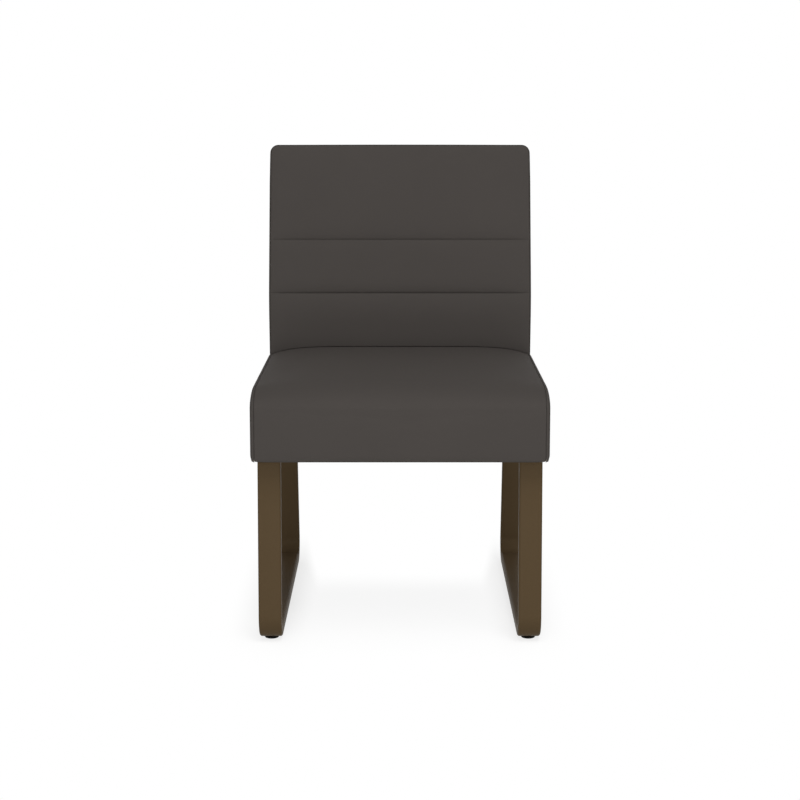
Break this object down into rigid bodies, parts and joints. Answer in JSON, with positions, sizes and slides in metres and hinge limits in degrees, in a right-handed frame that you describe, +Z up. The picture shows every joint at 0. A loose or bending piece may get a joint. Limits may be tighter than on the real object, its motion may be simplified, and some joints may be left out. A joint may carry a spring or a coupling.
{
  "type": "armless guest chair",
  "caption": "Armless guest chair: waterfall upholstered seat and channelled upholstered back on sled legs of bent rectangular steel tube with floor glides.",
  "frame": {"origin": "on the floor, at the centre of the chair's bounding box", "axes": "+X to the right as the chair is seen from in front, +Y towards the back of the chair, +Z up; the chair faces -Y"},
  "size_m": [0.5098, 0.6289, 0.8473],
  "materials": {
    "vinyl": "charcoal coated vinyl upholstery, fine leather grain, low sheen",
    "bronze": "dark bronze powder coat, satin",
    "nylon": "black moulded nylon",
    "zinc": "bright zinc plate",
    "hardwood": "planed, unfinished",
    "webbing": "woven elastic webbing",
    "foam": "cut upholstery foam",
    "black_cloth": "thin non-woven cloth"
  },
  "bodies": {
    "root": {"sled_left": "bronze", "sled_right": "bronze", "mount_bar_left": "bronze", "mount_bar_right": "bronze", "glide_front_left": "nylon", "glide_front_right": "nylon", "glide_rear_left": "nylon", "glide_rear_right": "nylon", "leg_bolt_front_left": "zinc", "leg_bolt_front_right": "zinc", "leg_bolt_rear_left": "zinc", "leg_bolt_rear_right": "zinc", "leg_bolt_stile_left": "zinc", "leg_bolt_stile_right": "zinc", "leg_insert_front_left": "zinc", "leg_insert_front_right": "zinc", "leg_insert_rear_left": "zinc", "leg_insert_rear_right": "zinc", "leg_insert_stile_left": "zinc", "leg_insert_stile_right": "zinc", "back_bolt_left": "zinc", "back_bolt_right": "zinc", "back_insert_left": "zinc", "back_insert_right": "zinc", "seat_rail_front": "hardwood", "seat_rail_rear": "hardwood", "seat_rail_left": "hardwood", "seat_rail_right": "hardwood", "corner_block_front_left": "hardwood", "corner_block_front_right": "hardwood", "corner_block_rear_left": "hardwood", "corner_block_rear_right": "hardwood", "seat_strap_long_1": "webbing", "seat_strap_long_2": "webbing", "seat_strap_long_3": "webbing", "seat_strap_long_4": "webbing", "seat_strap_cross_1": "webbing", "seat_strap_cross_2": "webbing", "seat_strap_cross_3": "webbing", "seat_strap_cross_4": "webbing", "seat_foam": "foam", "seat_cover": "vinyl", "seat_boxing_left": "vinyl", "seat_boxing_right": "vinyl", "seat_dust_cloth": "black_cloth", "back_stile_left": "hardwood", "back_stile_right": "hardwood", "back_rail_top": "hardwood", "back_rail_middle": "hardwood", "back_rail_bottom": "hardwood", "back_strap_1": "webbing", "back_strap_2": "webbing", "back_strap_3": "webbing", "back_foam": "foam", "back_cover": "vinyl", "back_boxing": "vinyl", "outside_back": "vinyl", "back_dust_cloth": "black_cloth"}
  },
  "joints": []
}
